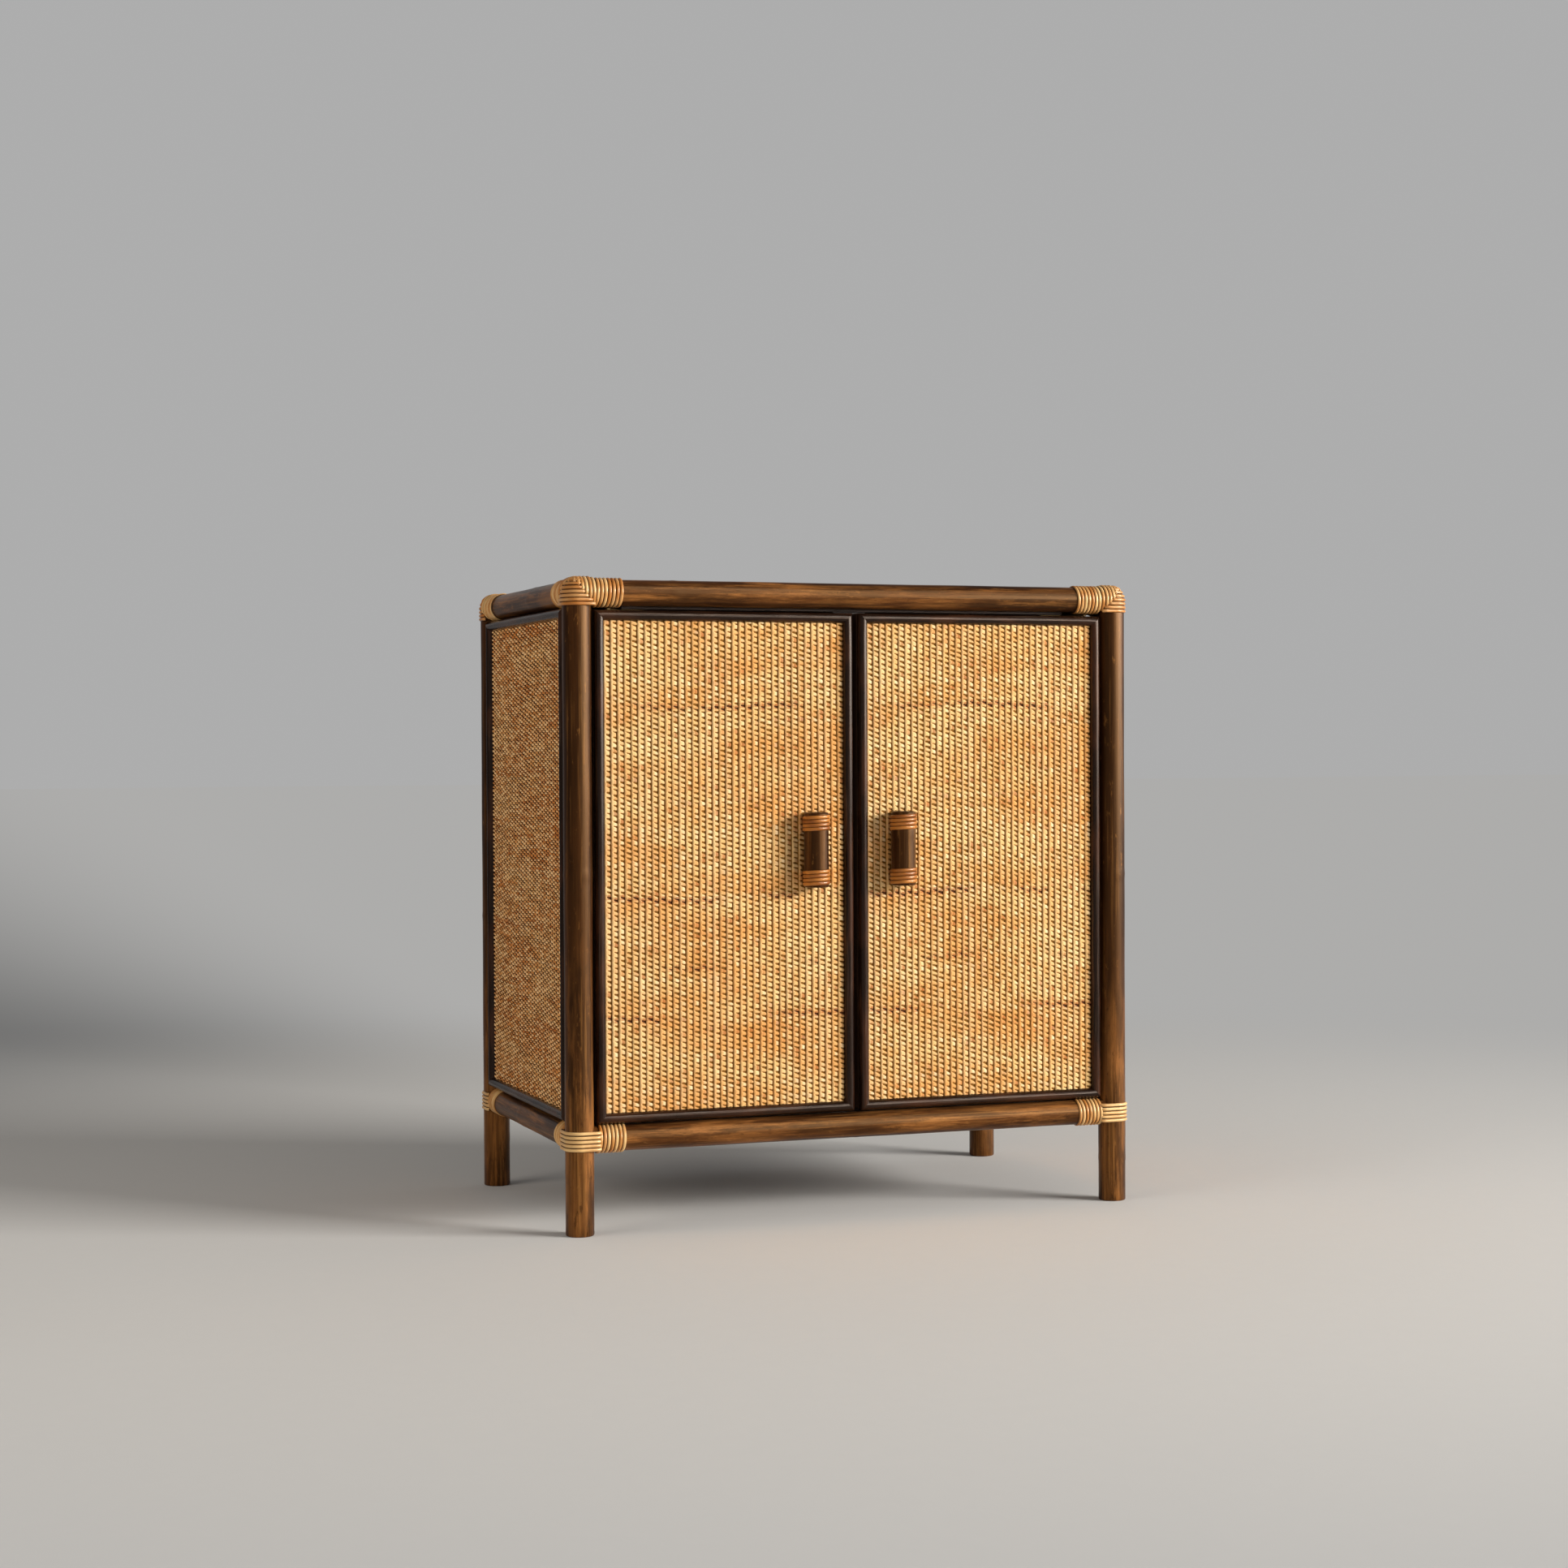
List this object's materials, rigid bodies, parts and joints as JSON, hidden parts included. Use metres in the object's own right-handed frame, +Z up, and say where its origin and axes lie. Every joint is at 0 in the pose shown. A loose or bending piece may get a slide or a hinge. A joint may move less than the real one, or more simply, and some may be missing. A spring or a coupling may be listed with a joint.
{
  "type": "cabinet",
  "caption": "Rattan-pole cabinet on legs, with cane-bound corners, woven cane panels, paired pivoting doors with bound pole grips, and an inner shelf.",
  "frame": {"origin": "on the floor under the middle of the four legs", "axes": "+Z up, the doors face -Y, +X to the right seen from the front"},
  "size_m": [0.7574, 0.4724, 0.7997],
  "materials": {
    "stained_rattan": "satin varnish over dark stain",
    "honey_cane": "glossy honey varnish",
    "woven_cane": "satin varnish over straw-coloured cane",
    "dark_moulding": "satin varnish, near-black brown",
    "stained_board": "matt stain",
    "brass": "plain",
    "steel": "plain"
  },
  "bodies": {
    "cabinet": {"post_front_left": "stained_rattan", "post_front_right": "stained_rattan", "post_rear_left": "stained_rattan", "post_rear_right": "stained_rattan", "rail_top_front": "stained_rattan", "rail_top_rear": "stained_rattan", "rail_top_left": "stained_rattan", "rail_top_right": "stained_rattan", "rail_bottom_front": "stained_rattan", "rail_bottom_rear": "stained_rattan", "rail_bottom_left": "stained_rattan", "rail_bottom_right": "stained_rattan", "binding_top_front_left": "honey_cane", "binding_top_front_right": "honey_cane", "binding_top_rear_left": "honey_cane", "binding_top_rear_right": "honey_cane", "binding_bottom_front_left": "honey_cane", "binding_bottom_front_right": "honey_cane", "binding_bottom_rear_left": "honey_cane", "binding_bottom_rear_right": "honey_cane", "side_board_left": "stained_board", "side_board_right": "stained_board", "side_weave_left": "woven_cane", "side_weave_right": "woven_cane", "side_trim_left": "dark_moulding", "side_trim_right": "dark_moulding", "back_board": "stained_board", "back_trim": "dark_moulding", "top_board": "stained_board", "top_weave": "woven_cane", "top_trim": "dark_moulding", "floor_board": "stained_board", "floor_batten_front": "stained_board", "floor_batten_rear": "stained_board", "top_batten_front": "stained_board", "top_batten_rear": "stained_board", "shelf": "stained_board", "shelf_batten_left": "stained_board", "shelf_batten_right": "stained_board", "pivot_left_lower": "brass", "pivot_left_upper": "brass", "pivot_right_lower": "brass", "pivot_right_upper": "brass", "door_catch": "dark_moulding"},
    "door_left": {"door_board_left": "stained_board", "door_weave_left": "woven_cane", "door_trim_left": "dark_moulding", "grip_left": "stained_rattan", "grip_wrap_left_lower": "honey_cane", "grip_wrap_left_upper": "honey_cane", "bush_left": "steel", "strike_left": "steel"},
    "door_right": {"door_board_right": "stained_board", "door_weave_right": "woven_cane", "door_trim_right": "dark_moulding", "grip_right": "stained_rattan", "grip_wrap_right_lower": "honey_cane", "grip_wrap_right_upper": "honey_cane", "bush_right": "steel", "strike_right": "steel"}
  },
  "joints": [
    {"name": "door_left_pivot", "type": "hinge", "parent": "cabinet", "child": "door_left", "pos_m": [-0.321, -0.2071, 0.447], "axis": [0, 0, -1], "range_deg": [0, 115]},
    {"name": "door_right_pivot", "type": "hinge", "parent": "cabinet", "child": "door_right", "pos_m": [0.321, -0.2071, 0.447], "axis": [0, 0, 1], "range_deg": [0, 115]}
  ]
}
